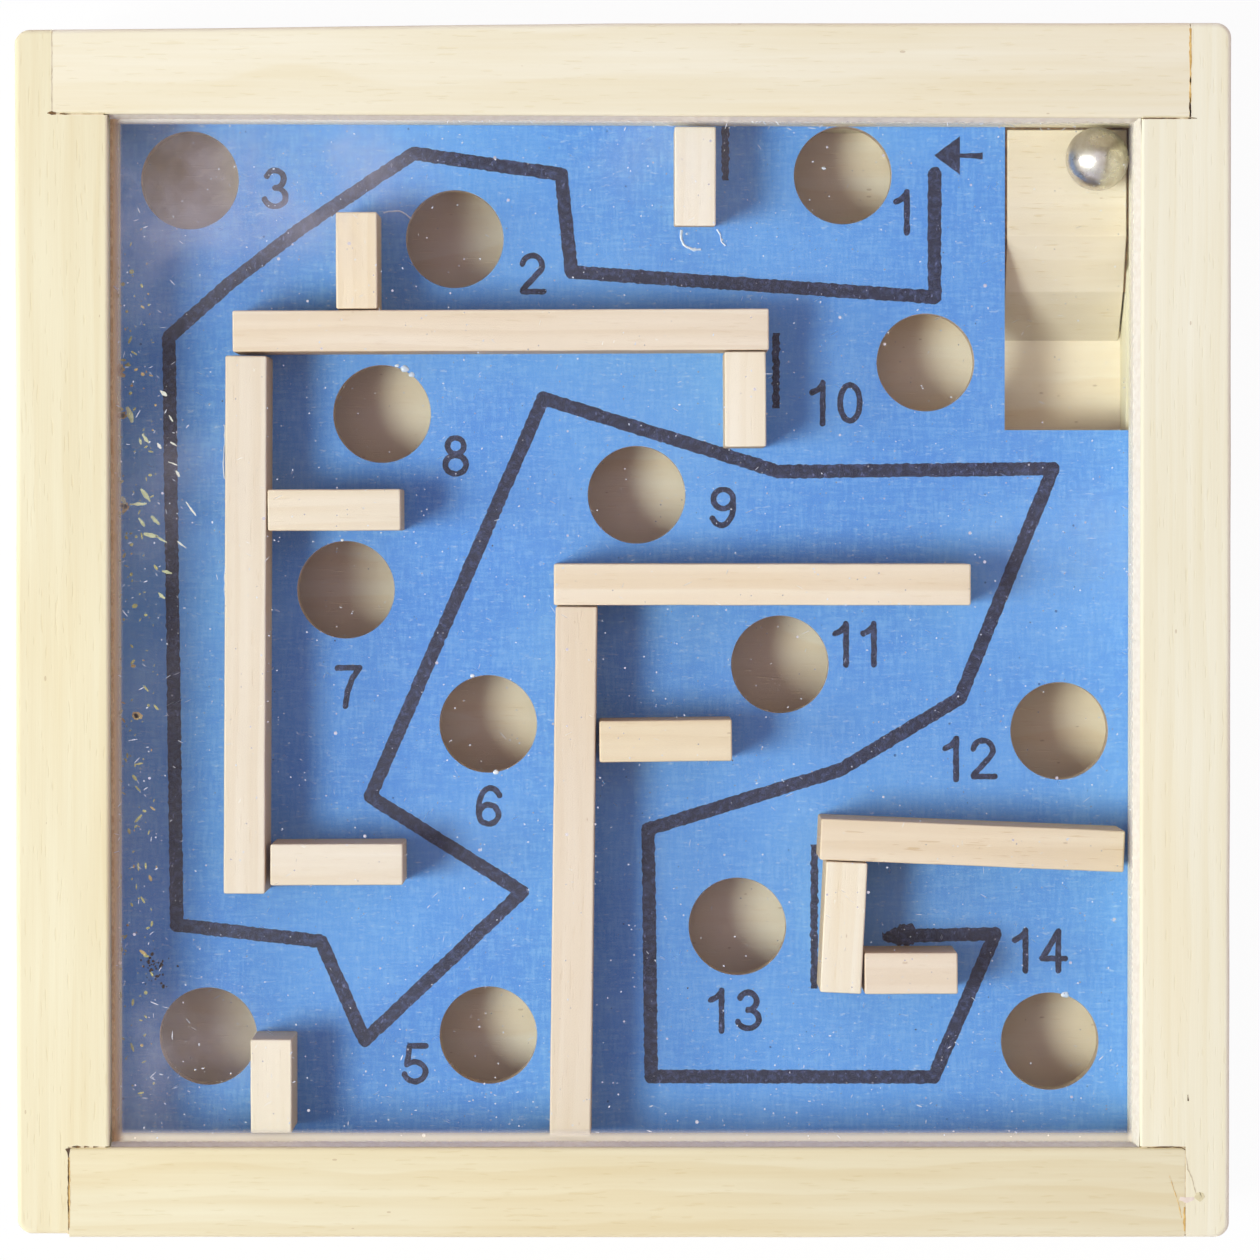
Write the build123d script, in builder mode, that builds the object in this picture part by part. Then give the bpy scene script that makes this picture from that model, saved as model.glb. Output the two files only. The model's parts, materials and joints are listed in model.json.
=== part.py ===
from build123d import *
import os

os.makedirs("parts", exist_ok=True)

# Hand-held ball maze, lying on its back. The origin is the centre of the underside.
# X runs to the right and Y to the top of the playing board; Z runs up through the cover.

# Frame
frame_side = 120.0
rail_width = 9.0
corner_round = 1.5
outer_edge_round = 0.5
inner_edge_round = 0.4

# Thickness of the tongue that each side rail keeps at its ends, past the rail it holds
top_left_tongue = 3.65
top_right_tongue = 4.1
bottom_left_tongue = 5.1
bottom_right_tongue = 4.4
corner_gap = 0.1

# Layers, from the underside up
base_thickness = 3.0
tray_height = 6.9
board_thickness = 2.5
wall_height = 9.0
cover_gap = 0.4
cover_thickness = 2.0
lip_height = 2.2

# Grooves in the rails, which hold the base panel, the board and the cover by their edges
groove_depth = 2.5
groove_play = 0.1
sheet_side_gap = 0.2

# Playing board
hole_diameter = 9.8
well_width = 12.5
well_length = 30.9

# Return ramp in the corner well
ramp_left_gap = 0.25
ramp_right_gap = 0.55
ramp_top_gap = 0.6
platform_length = 10.7
upper_slope_length = 5.5
upper_slope_drop = 3.6
lower_slope_length = 4.8

# Ball, at rest in the corner of the platform
ball_diameter = 6.35
ball_right_gap = 0.3
ball_top_gap = 0.6
ball_float = 0.05

# Maze walls, strips of one square-cut moulding
strip_width = 4.15
strip_edge_round = 0.2
glue_gap = 0.1
slant_joint = 0.2
open_joint = 0.35
shelf_joint = 0.5

# Sizes that follow
half_side = frame_side / 2
opening = frame_side - 2 * rail_width
half_opening = opening / 2
board_bottom = base_thickness + tray_height
board_top = board_bottom + board_thickness
cover_bottom = board_top + wall_height + cover_gap
frame_height = cover_bottom + cover_thickness + lip_height
groove_side = opening + 2 * groove_depth
sheet_side = groove_side - 2 * sheet_side_gap

# Hole centres, as shares of the opening, in the order of the numbers beside them
hole_shares = [
    (0.217, 0.449),
    (-0.167, 0.386),
    (-0.429, 0.444),
    (-0.412, -0.404),
    (-0.134, -0.403),
    (-0.134, -0.094),
    (-0.275, 0.039),
    (-0.239, 0.213),
    (0.013, 0.133),
    (0.299, 0.264),
    (0.155, -0.035),
    (0.432, -0.101),
    (0.113, -0.295),
    (0.423, -0.409),
]

# Centre lines of the walls with two free ends, as shares of the opening
free_wall_shares = {
    "start_stop": ((0.070, 0.491), (0.070, 0.394)),
    "upper_long_wall": ((-0.381, 0.2918), (0.142, 0.2936)),
    "hole_four_guard": ((-0.344, -0.399), (-0.344, -0.491)),
    "middle_cross_wall": ((-0.068, 0.045), (0.339, 0.045)),
    "finish_roof_wall": ((0.192, -0.2034), (0.489, -0.2155)),
}

# Walls that butt against another: the wall that each one meets, the share of that wall's
# length where it meets, its free end as shares of the opening, and the gap left there
butt_wall_shares = {
    "hole_two_guard": ("upper_long_wall", 0.232, (-0.260, 0.408), glue_gap),
    "upper_drop_wall": ("upper_long_wall", 0.955, (0.119, 0.179), glue_gap),
    "left_long_wall": ("upper_long_wall", 0.026, (-0.370, -0.257), open_joint),
    "hole_eight_shelf": ("left_long_wall", 0.287, (-0.217, 0.118), glue_gap),
    "left_lower_shelf": ("left_long_wall", 0.946, (-0.215, -0.228), shelf_joint),
    "middle_long_wall": ("middle_cross_wall", 0.055, (-0.052, -0.495), glue_gap),
    "middle_shelf": ("middle_long_wall", 0.255, (0.106, -0.1068), open_joint),
    "finish_side_wall": ("finish_roof_wall", 0.092, (0.212, -0.354), glue_gap),
    "finish_floor_wall": ("finish_side_wall", 0.850, (0.3265, -0.3345), slant_joint),
}


# Edges in the outer faces of the frame, around its top and its underside
def outer_rim(edges):
    skin = half_side - corner_round
    levels = edges.group_by(Axis.Z)[-1] + edges.group_by(Axis.Z)[0]
    return [edge for edge in levels if max(abs(edge.center().X), abs(edge.center().Y)) > skin]


# Square pockets that the three sheets leave in every rail, each with its level and height
pockets = (
    (0, base_thickness),
    (board_bottom, board_thickness + groove_play),
    (cover_bottom, cover_thickness + groove_play),
)

# Left and right rails, full height, with a notch at each end for the rail let in there
side_rails = (
    ("left_rail", -1, top_left_tongue, bottom_left_tongue),
    ("right_rail", 1, top_right_tongue, bottom_right_tongue),
)
for name, outward, top_tongue, bottom_tongue in side_rails:
    with BuildPart() as side_rail:
        with BuildSketch():
            with Locations((outward * (half_side - rail_width / 2), 0)):
                Rectangle(rail_width, frame_side)
            for end, tongue in ((1, top_tongue), (-1, bottom_tongue)):
                with Locations((outward * half_opening, end * half_side)):
                    notch_size = (2 * (rail_width - tongue), 2 * (rail_width + corner_gap))
                    Rectangle(*notch_size, mode=Mode.SUBTRACT)
        extrude(amount=frame_height)
        for level, height in pockets:
            with BuildSketch(Plane.XY.offset(level)):
                Rectangle(groove_side, groove_side)
            extrude(amount=height, mode=Mode.SUBTRACT)
        uprights = side_rail.edges().filter_by(Axis.Z)
        fillet(uprights.group_by(lambda edge: abs(edge.center().X))[-1], radius=corner_round)
        fillet(outer_rim(side_rail.edges()), radius=outer_edge_round)
        lip = side_rail.edges().group_by(Axis.Z)[-1].filter_by(Axis.Y)
        fillet(lip.sort_by(Axis.X, reverse=outward < 0)[0], radius=inner_edge_round)
    side_rail.part.label = name
    export_step(side_rail.part, f"parts/{name}.step")

# Top and bottom rails, let in between the tongues
cross_rails = (
    ("top_rail", 1, top_left_tongue, top_right_tongue),
    ("bottom_rail", -1, bottom_left_tongue, bottom_right_tongue),
)
for name, outward, left_tongue, right_tongue in cross_rails:
    left_end = left_tongue + corner_gap - half_side
    right_end = half_side - right_tongue - corner_gap
    with BuildPart() as cross_rail:
        with BuildSketch():
            with Locations(((left_end + right_end) / 2, outward * (half_side - rail_width / 2))):
                Rectangle(right_end - left_end, rail_width)
        extrude(amount=frame_height)
        for level, height in pockets:
            with BuildSketch(Plane.XY.offset(level)):
                Rectangle(groove_side, groove_side)
            extrude(amount=height, mode=Mode.SUBTRACT)
        fillet(outer_rim(cross_rail.edges()), radius=outer_edge_round)
        lip = cross_rail.edges().group_by(Axis.Z)[-1].filter_by(Axis.X)
        fillet(lip.sort_by(Axis.Y, reverse=outward < 0)[0], radius=inner_edge_round)
    cross_rail.part.label = name
    export_step(cross_rail.part, f"parts/{name}.step")

# Base panel, flush with the underside of the rails
with BuildPart() as base_panel:
    with BuildSketch():
        Rectangle(sheet_side, sheet_side)
    extrude(amount=base_thickness)
base_panel.part.label = "base_panel"
export_step(base_panel.part, "parts/base_panel.step")

# Playing board: round holes, and a well cut out of its upper right corner
well_left = half_opening - well_width
well_foot = half_opening - well_length
hole_centres = [(x_share * opening, y_share * opening) for x_share, y_share in hole_shares]
with BuildPart() as maze_board:
    with BuildSketch(Plane.XY.offset(board_bottom)):
        Rectangle(sheet_side, sheet_side)
        with Locations((well_left, well_foot)):
            Rectangle(sheet_side, sheet_side, align=(Align.MIN, Align.MIN), mode=Mode.SUBTRACT)
        with Locations(hole_centres):
            Circle(hole_diameter / 2, mode=Mode.SUBTRACT)
    extrude(amount=board_thickness)
maze_board.part.label = "maze_board"
export_step(maze_board.part, "parts/maze_board.step")

# Clear cover, in the upper groove
with BuildPart() as clear_cover:
    with BuildSketch(Plane.XY.offset(cover_bottom)):
        Rectangle(sheet_side, sheet_side)
    extrude(amount=cover_thickness)
clear_cover.part.label = "clear_cover"
export_step(clear_cover.part, "parts/clear_cover.step")

# Return ramp: a platform level with the board, then two slopes down to the base panel
ramp_top = half_opening - ramp_top_gap
platform_foot = ramp_top - platform_length
knee = platform_foot - upper_slope_length
with BuildPart() as return_ramp:
    with BuildSketch(Plane.YZ.offset(well_left + ramp_left_gap)):
        with BuildLine():
            Polyline(
                (ramp_top, base_thickness),
                (ramp_top, board_top),
                (platform_foot, board_top),
                (knee, board_top - upper_slope_drop),
                (knee - lower_slope_length, base_thickness),
                close=True,
            )
        make_face()
    extrude(amount=well_width - ramp_left_gap - ramp_right_gap)
return_ramp.part.label = "return_ramp"
export_step(return_ramp.part, "parts/return_ramp.step")

# Steel ball, at rest in the corner of the platform
ball_radius = ball_diameter / 2
ball_x = half_opening - ball_right_gap - ball_radius
ball_y = half_opening - ball_top_gap - ball_radius
with BuildPart(Plane((ball_x, ball_y, board_top + ball_float + ball_radius))) as steel_ball:
    Sphere(ball_radius)
steel_ball.part.label = "steel_ball"
export_step(steel_ball.part, "parts/steel_ball.step")

# Centre line of each wall, from its start to its end
wall_lines = {}
for name, (start_share, end_share) in free_wall_shares.items():
    wall_lines[name] = (Vector(*start_share) * opening, Vector(*end_share) * opening)
for name, (neighbour, along_share, end_share, gap) in butt_wall_shares.items():
    neighbour_start, neighbour_end = wall_lines[neighbour]
    neighbour_run = neighbour_end - neighbour_start
    meeting = neighbour_start + neighbour_run * along_share
    end = Vector(*end_share) * opening
    distance = abs((end - meeting).cross(neighbour_run).Z) / neighbour_run.length
    face_share = (strip_width / 2 + gap) / distance
    wall_lines[name] = (meeting + (end - meeting) * face_share, end)

# Maze walls, standing on the board
for name, (start, end) in wall_lines.items():
    middle = (start + end) / 2
    footing = Plane((middle.X, middle.Y, board_top), x_dir=end - start, z_dir=(0, 0, 1))
    with BuildPart() as wall:
        with BuildSketch(footing):
            Rectangle((end - start).length, strip_width)
        extrude(amount=wall_height)
        fillet(wall.edges().group_by(Axis.Z)[-1], radius=strip_edge_round)
    wall.part.label = name
    export_step(wall.part, f"parts/{name}.step")
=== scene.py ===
import json
import math
import random

import bmesh
import bpy
from mathutils import Matrix, Vector, noise


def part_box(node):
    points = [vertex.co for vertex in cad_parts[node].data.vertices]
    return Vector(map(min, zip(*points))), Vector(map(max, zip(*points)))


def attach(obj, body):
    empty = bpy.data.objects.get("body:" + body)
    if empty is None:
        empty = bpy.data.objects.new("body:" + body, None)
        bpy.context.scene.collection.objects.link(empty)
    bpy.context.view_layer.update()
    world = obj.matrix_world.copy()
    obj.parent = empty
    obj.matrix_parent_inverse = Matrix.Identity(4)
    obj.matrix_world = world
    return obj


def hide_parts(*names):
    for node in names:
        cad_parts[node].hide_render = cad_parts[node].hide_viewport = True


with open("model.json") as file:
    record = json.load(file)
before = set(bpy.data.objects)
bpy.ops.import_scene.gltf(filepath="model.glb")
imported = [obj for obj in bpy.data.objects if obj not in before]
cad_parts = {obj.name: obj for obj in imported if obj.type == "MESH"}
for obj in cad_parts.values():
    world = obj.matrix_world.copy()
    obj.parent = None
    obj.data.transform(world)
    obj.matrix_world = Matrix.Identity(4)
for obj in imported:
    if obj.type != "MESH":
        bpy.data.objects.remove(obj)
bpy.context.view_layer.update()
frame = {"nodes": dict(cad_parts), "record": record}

# Hand-held ball maze, lying on its back and seen from straight above.
# X runs to the right, Y to the top of the board, Z up through the cover.

mm = 0.001
chance = random.Random(14)
noise.seed_set(14)  # the vector noise is seeded from the clock otherwise


# a colour as a screen gives it, 0 to 255
def paint(red, green, blue):
    shares = []
    for value in (red, green, blue):
        share = value / 255
        if share <= 0.04045:
            shares.append(share / 12.92)
        else:
            shares.append(((share + 0.055) / 1.055) ** 2.4)
    return (*shares, 1)


# smooth step from 0 at low to 1 at high
def ease(value, low, high):
    share = min(1, max(0, (value - low) / (high - low)))
    return share * share * (3 - 2 * share)


# slow, even noise along a line, from -1 to 1
def drift(place, scale, seed):
    return noise.noise(Vector((place * scale, seed * 7.3, seed * 1.9)))


# Shader helpers: an input given as a socket is linked, anything else is its value
def fillIn(tree, made, inputs):
    for key, value in inputs.items():
        if isinstance(value, bpy.types.NodeSocket):
            tree.links.new(value, made.inputs[key])
        else:
            made.inputs[key].default_value = value


def put(tree, kind, inputs=None, **settings):
    made = tree.nodes.new("ShaderNode" + kind)
    for key, value in settings.items():
        setattr(made, key, value)
    fillIn(tree, made, inputs or {})
    return made


def maths(tree, operation, first, second=0.5, clamp=False):
    return put(tree, "Math", {0: first, 1: second}, operation=operation, use_clamp=clamp).outputs[0]


def times(tree, first, second, clamp=False):
    return maths(tree, "MULTIPLY", first, second, clamp)


def plus(tree, first, second, clamp=False):
    return maths(tree, "ADD", first, second, clamp)


def blendColour(tree, share, first, second, way="MIX"):
    inputs = {0: share, 6: first, 7: second}
    return put(tree, "Mix", inputs, data_type="RGBA", blend_type=way).outputs[2]


def reach(tree, value, low, high, outLow=0, outHigh=1):
    inputs = {"Value": value, "From Min": low, "From Max": high, "To Min": outLow, "To Max": outHigh}
    return put(tree, "MapRange", inputs, interpolation_type="SMOOTHSTEP").outputs["Result"]


def stretch(tree, vector, scale):
    return put(tree, "VectorMath", {0: vector, 1: scale}, operation="MULTIPLY").outputs[0]


def inMillimetres(tree, vector):
    return put(tree, "VectorMath", {0: vector, "Scale": 1000}, operation="SCALE").outputs[0]


def cloud(tree, vector, scale, detail=2, rough=0.5, output=0):
    inputs = {"Vector": stretch(tree, vector, scale), "Scale": 1, "Detail": detail, "Roughness": rough}
    return put(tree, "TexNoise", inputs).outputs[output]


def newGroup(name, inputs, outputs):
    tree = bpy.data.node_groups.new(name, "ShaderNodeTree")
    for label, kind, value in inputs:
        socket = tree.interface.new_socket(label, in_out="INPUT", socket_type="NodeSocket" + kind)
        socket.default_value = value
    for label, kind in outputs:
        tree.interface.new_socket(label, in_out="OUTPUT", socket_type="NodeSocket" + kind)
    given = tree.nodes.new("NodeGroupInput").outputs
    result = tree.nodes.new("NodeGroupOutput").inputs
    return tree, given, result


def useGroup(tree, group, inputs):
    made = tree.nodes.new("ShaderNodeGroup")
    made.node_tree = group
    fillIn(tree, made, inputs)
    return made.outputs


# Wood figure: growth rings round a pith line along X, with fibres, pores and slow patches
def makeTimberGroup():
    inputs = [
        ("Vector", "Vector", (0, 0, 0)),
        ("Pale", "Color", (1, 1, 1, 1)),
        ("Dark", "Color", (0, 0, 0, 1)),
        ("Blush", "Color", (1, 1, 1, 1)),
        ("Ring Width", "Float", 1.5),
        ("Rings", "Float", 0.5),
        ("Fibres", "Float", 0.5),
        ("Pores", "Float", 0.3),
        ("Patches", "Float", 0.3),
        ("Wander", "Float", 2.0),
    ]
    outputs = [("Color", "Color"), ("Roughness", "Float"), ("Height", "Float")]
    tree, given, result = newGroup("timberFigure", inputs, outputs)
    inMm = inMillimetres(tree, given["Vector"])
    bend = cloud(tree, inMm, (0.028, 0.07, 0.07), 2, 0.5, 1)
    bend = put(tree, "VectorMath", {0: bend, 1: (0.5, 0.5, 0.5)}, operation="SUBTRACT").outputs[0]
    bend = put(tree, "VectorMath", {0: bend, "Scale": given["Wander"]}, operation="SCALE").outputs[0]
    bent = put(tree, "VectorMath", {0: inMm, 1: bend}, operation="ADD").outputs[0]
    radius = put(tree, "VectorMath", {0: stretch(tree, bent, (0, 1, 1))}, operation="LENGTH").outputs[1]
    ring = maths(tree, "FRACT", maths(tree, "DIVIDE", radius, given["Ring Width"]))
    lateWood = times(tree, reach(tree, ring, 0.15, 0.9), reach(tree, ring, 0.9, 1, 1, 0))
    fibre = cloud(tree, inMm, (0.09, 3.2, 3.2), 4, 0.62)
    strand = cloud(tree, inMm, (0.035, 1.1, 1.1), 2, 0.5)
    pore = reach(tree, cloud(tree, inMm, (0.42, 4.6, 4.6), 1, 0.4), 0.66, 0.74)
    patch = cloud(tree, inMm, (0.03, 0.16, 0.16), 2, 0.5)
    softFibre = times(tree, maths(tree, "SUBTRACT", fibre), 0.4)
    grain = plus(tree, softFibre, maths(tree, "SUBTRACT", strand))
    shade = times(tree, lateWood, given["Rings"])
    shade = plus(tree, shade, times(tree, grain, given["Fibres"]))
    shade = plus(tree, shade, times(tree, pore, given["Pores"]))
    shift = times(tree, maths(tree, "SUBTRACT", patch), given["Patches"])
    shade = plus(tree, plus(tree, shade, shift), 0.25, True)
    colour = blendColour(tree, shade, given["Pale"], given["Dark"])
    tint = reach(tree, cloud(tree, inMm, (0.022, 0.12, 0.12), 1, 0.5), 0.45, 0.72)
    colour = blendColour(tree, tint, colour, given["Blush"], "MULTIPLY")
    tree.links.new(colour, result["Color"])
    tree.links.new(reach(tree, fibre, 0.3, 0.7, 0.62, 0.5), result["Roughness"])
    height = maths(tree, "SUBTRACT", fibre, times(tree, pore, 0.8))
    tree.links.new(height, result["Height"])
    return tree


# Edges rubbed by handling: a mask of where the surface turns sharply, broken up by noise
def makeWearGroup():
    inputs = [("Vector", "Vector", (0, 0, 0)), ("Width", "Float", 0.0003), ("Breakup", "Float", 0.5)]
    tree, given, result = newGroup("edgeWear", inputs, [("Mask", "Float")])
    rounded = put(tree, "Bevel", {"Radius": given["Width"]}, samples=4).outputs[0]
    facing = put(tree, "NewGeometry").outputs["Normal"]
    likeness = put(tree, "VectorMath", {0: rounded, 1: facing}, operation="DOT_PRODUCT").outputs[1]
    turned = reach(tree, likeness, 0.97, 0.8)
    speckle = reach(tree, cloud(tree, given["Vector"], (900, 900, 900), 3, 0.6), 0.3, 0.62)
    broken = times(tree, maths(tree, "SUBTRACT", speckle, 1), given["Breakup"])
    mask = times(tree, turned, plus(tree, broken, 1), True)
    tree.links.new(mask, result["Mask"])
    return tree


# Round specks, such as dust: a mask of dots of one size in a share of the cells
def makeSpeckGroup():
    inputs = [
        ("Vector", "Vector", (0, 0, 0)),
        ("Per Mm", "Float", 1.5),
        ("Size", "Float", 0.1),
        ("Share", "Float", 0.3),
    ]
    tree, given, result = newGroup("speckDots", inputs, [("Mask", "Float")])
    scale = times(tree, given["Per Mm"], 1000)
    inCells = put(tree, "VectorMath", {0: given["Vector"], "Scale": scale}, operation="SCALE").outputs[0]
    cells = put(tree, "TexVoronoi", {"Vector": inCells, "Scale": 1})
    lottery = put(tree, "SeparateColor", {0: cells.outputs["Color"]}).outputs
    chosen = maths(tree, "LESS_THAN", lottery[0], given["Share"])
    size = times(tree, given["Size"], plus(tree, lottery[1], 0.3))
    dot = maths(tree, "LESS_THAN", cells.outputs["Distance"], size)
    tree.links.new(times(tree, dot, chosen), result["Mask"])
    return tree


# Hairline marks: long thin cells, turned three ways
def makeScratchGroup():
    inputs = [("Vector", "Vector", (0, 0, 0)), ("Share", "Float", 0.2), ("Width", "Float", 0.03)]
    tree, given, result = newGroup("hairScratches", inputs, [("Mask", "Float")])
    total = None
    for turn, length in ((0.5, 0.16), (1.9, 0.22), (2.7, 0.12)):
        placed = put(tree, "Mapping", {"Vector": given["Vector"], "Rotation": (0, 0, turn)}).outputs[0]
        drawnOut = stretch(tree, placed, (1000 * length, 1600, 1))
        cells = put(tree, "TexVoronoi", {"Vector": drawnOut, "Scale": 1})
        lottery = put(tree, "SeparateColor", {0: cells.outputs["Color"]}).outputs[0]
        chosen = maths(tree, "LESS_THAN", lottery, given["Share"])
        line = maths(tree, "LESS_THAN", cells.outputs["Distance"], given["Width"])
        mark = times(tree, line, chosen)
        total = mark if total is None else maths(tree, "MAXIMUM", total, mark)
    tree.links.new(total, result["Mask"])
    return tree


timberFigure = makeTimberGroup()
edgeWear = makeWearGroup()
speckDots = makeSpeckGroup()
hairScratches = makeScratchGroup()
print("shader groups made")


def newMaterial(name):
    material = bpy.data.materials.new(name)
    material.use_nodes = True
    tree = material.node_tree
    return material, tree, tree.nodes["Principled BSDF"], put(tree, "TexCoord").outputs["Object"]


def addBump(tree, shader, height, distance, strength=0.5):
    inputs = {"Height": height, "Distance": distance, "Strength": strength}
    tree.links.new(put(tree, "Bump", inputs).outputs[0], shader.inputs["Normal"])


# each wood gives its own pale and dark tone
woodDefaults = {
    "blush": (255, 252, 246),
    "sides": (255, 255, 255),  # painted shade, multiplied onto the faces that don't face up
    "ringWidth": 2.2,
    "rings": 0.12,
    "fibres": 0.42,
    "pores": 0.16,
    "patches": 0.5,
    "wander": 5.0,
    "pith": (0, 0.03, -0.05),  # metres from the origin to the pith, before the grain is turned
    "grainTurn": 0.0,  # degrees from X to the grain
    "wear": 0.35,
    "worn": (252, 247, 230),
    "dirt": 0.03,
    "dirtTone": (176, 146, 104),
    "bump": 0.035 * mm,
}


def makeWood(name, **changes):
    look = {**woodDefaults, **changes}
    for tone in ("pale", "dark", "blush", "sides", "worn", "dirtTone"):
        look[tone] = paint(*look[tone])
    material, tree, shader, coords = newMaterial(name)
    turn = (0, 0, -math.radians(look["grainTurn"]))
    turned = put(tree, "Mapping", {"Vector": coords, "Rotation": turn}).outputs[0]
    placed = put(tree, "Mapping", {"Vector": turned, "Location": look["pith"]}).outputs[0]
    inputs = {"Vector": placed, "Ring Width": look["ringWidth"]}
    for label in ("Pale", "Dark", "Blush", "Rings", "Fibres", "Pores", "Patches", "Wander"):
        inputs[label] = look[label.lower()]
    figure = useGroup(tree, timberFigure, inputs)
    drawnOut = stretch(tree, placed, (0.4, 1, 1))
    inputs = {"Vector": drawnOut, "Per Mm": 1.4, "Size": 0.13, "Share": look["dirt"]}
    dirt = useGroup(tree, speckDots, inputs)
    colour = blendColour(tree, times(tree, dirt[0], 0.4), figure["Color"], look["dirtTone"])
    # painted shade: faces that don't face up are multiplied by the sides tone
    upright = put(tree, "SeparateXYZ", {0: put(tree, "NewGeometry").outputs["True Normal"]}).outputs[2]
    colour = blendColour(tree, reach(tree, upright, 0.7, 0.2), colour, look["sides"], "MULTIPLY")
    rubbed = useGroup(tree, edgeWear, {"Vector": coords, "Width": 0.25 * mm, "Breakup": 0.5})
    rubbed = times(tree, rubbed[0], look["wear"])
    tree.links.new(blendColour(tree, rubbed, colour, look["worn"]), shader.inputs["Base Color"])
    tree.links.new(figure["Roughness"], shader.inputs["Roughness"])
    shader.inputs["Specular IOR Level"].default_value = 0.3
    addBump(tree, shader, figure["Height"], look["bump"])
    return material


# a plain mottled look for small marks: dust, dirt, glue
def makeCrumb(name, tone, otherTone, roughness=0.8):
    material, tree, shader, coords = newMaterial(name)
    mottle = reach(tree, cloud(tree, coords, (1400, 1400, 1400), 2, 0.6), 0.35, 0.65)
    colour = blendColour(tree, mottle, paint(*tone), paint(*otherTone))
    tree.links.new(colour, shader.inputs["Base Color"])
    tree.links.new(reach(tree, mottle, 0, 1, roughness, roughness * 0.8), shader.inputs["Roughness"])
    return material


sharpAngle = math.radians(32)


# Finished pieces: the place is in the mesh, and the object stays at the origin
def keepPiece(bm, name, materials, stands=(), body="case"):
    mesh = bpy.data.meshes.new(name)
    bm.to_mesh(mesh)
    bm.free()
    for material in materials:
        mesh.materials.append(material)
    mesh.shade_smooth()
    mesh.set_sharp_from_angle(angle=sharpAngle)
    piece = bpy.data.objects.new(name, mesh)
    bpy.context.scene.collection.objects.link(piece)
    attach(piece, body)
    if stands:
        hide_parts(*stands)
    if body == "case":
        steady = piece.modifiers.new("steadyNormals", "WEIGHTED_NORMAL")
        steady.keep_sharp = True
    return piece


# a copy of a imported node's mesh, with its loose triangles joined into whole faces
def mergedCopy(node):
    bm = bmesh.new()
    bm.from_mesh(frame["nodes"][node].data)
    bmesh.ops.remove_doubles(bm, verts=bm.verts, dist=0.001 * mm)
    bmesh.ops.dissolve_limit(bm, angle_limit=math.radians(1), verts=bm.verts, edges=bm.edges)
    return bm


def sliceAcross(bm, axis, low, high, step):
    place = low + step
    while place < high - step / 2:
        everything = bm.verts[:] + bm.edges[:] + bm.faces[:]
        bmesh.ops.bisect_plane(bm, geom=everything, plane_co=axis * place, plane_no=axis)
        place += step


def roundEdges(bm, edges, width, segments):
    bmesh.ops.bevel(bm, geom=edges, offset=width, offset_type="OFFSET", segments=segments,
                    profile=0.5, affect="EDGES", material=-1)


# a box from its low and high corners
def addBox(bm, low, high):
    middle = (Vector(low) + Vector(high)) / 2
    size = Vector(high) - Vector(low)
    place = Matrix.Translation(middle) @ Matrix.Diagonal((*size, 1))
    bmesh.ops.create_cube(bm, size=1, matrix=place)


# gives flat faces their thickness, upwards unless it is negative
def thicken(bm, thickness):
    grown = bmesh.ops.extrude_face_region(bm, geom=bm.faces[:])["geom"]
    moved = [item for item in grown if isinstance(item, bmesh.types.BMVert)]
    bmesh.ops.translate(bm, verts=moved, vec=(0, 0, thickness))
    bmesh.ops.recalc_face_normals(bm, faces=bm.faces[:])


# Frame rails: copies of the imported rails, sanded by hand
railLook = {
    "sliceStep": 3 * mm,
    "skin": 2.6 * mm,  # how far in from the outer face the sanding fades out
    "skinFull": 0.5 * mm,  # and how far in it is still full
    "wave": 0.07 * mm,
    "topDrop": 0.045 * mm,  # taken off the top, which leaves room for the joint lines
    "topUneven": 0.015 * mm,
    "topFrom": 24.4 * mm,  # the heights where the drop starts and is full
    "topFull": 25.5 * mm,
    "topLeftTaper": 0.65 * mm,  # the upper side falls away towards the left corner
    "topWidening": 0.0038,  # the top rail gets wider towards the right, as a slope
    "wideningStart": -55 * mm,
    "leftStandsIn": 0.25 * mm,  # the left rail is a little wider
    "leftEndShort": 0.35 * mm,  # its lower end stops short of the bottom rail's face
    "leftEndSide": -54.85 * mm,  # the joint where that end stops
    "lipReach": (-0.15 * mm, 0.45 * mm),  # from the opening's edge past the lip's rounding
    "half": 60 * mm,
    "halfOpening": 51 * mm,
    "tones": {
        "left_rail": {
            "pale": (242, 238, 206), "dark": (219, 201, 150), "grainTurn": 90,
            "pith": (0.01, 0.075, -0.02), "ringWidth": 3.1, "rings": 0.1,
        },
        "right_rail": {
            "pale": (250, 249, 226), "dark": (233, 222, 177), "grainTurn": 90,
            "pith": (0.3, -0.11, -0.012), "ringWidth": 1.7, "rings": 0.12, "wander": 3.0,
        },
        "top_rail": {
            "pale": (247, 244, 222), "dark": (229, 214, 165), "grainTurn": 0,
            "pith": (0.61, -0.03, -0.055), "ringWidth": 4.2, "rings": 0.14, "wander": 8.0,
        },
        "bottom_rail": {
            "pale": (239, 234, 202), "dark": (216, 196, 142), "grainTurn": 0,
            "pith": (0.9, 0.095, -0.035), "ringWidth": 2.7, "rings": 0.16, "wander": 6.0,
        },
    },
}


# how deep the sanding goes on the outer face of one side, at a place along it
def sandingDepth(axis, outward, along):
    seed = 1 + axis * 2 + outward
    depth = railLook["wave"] * (0.8 + drift(along, 22, seed) + 0.5 * drift(along, 90, seed + 5))
    if axis == 1 and outward > 0:
        depth += railLook["topLeftTaper"] * max(0, -along / railLook["half"])
    if axis == 1 and outward < 0 and along < railLook["leftEndSide"]:
        depth += railLook["leftEndShort"]
    return max(0, depth)


# where a place lies just at the opening's edge, with the rounding of the lip
def atOpening(distance):
    low, high = railLook["lipReach"]
    return low < distance - railLook["halfOpening"] < high


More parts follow.
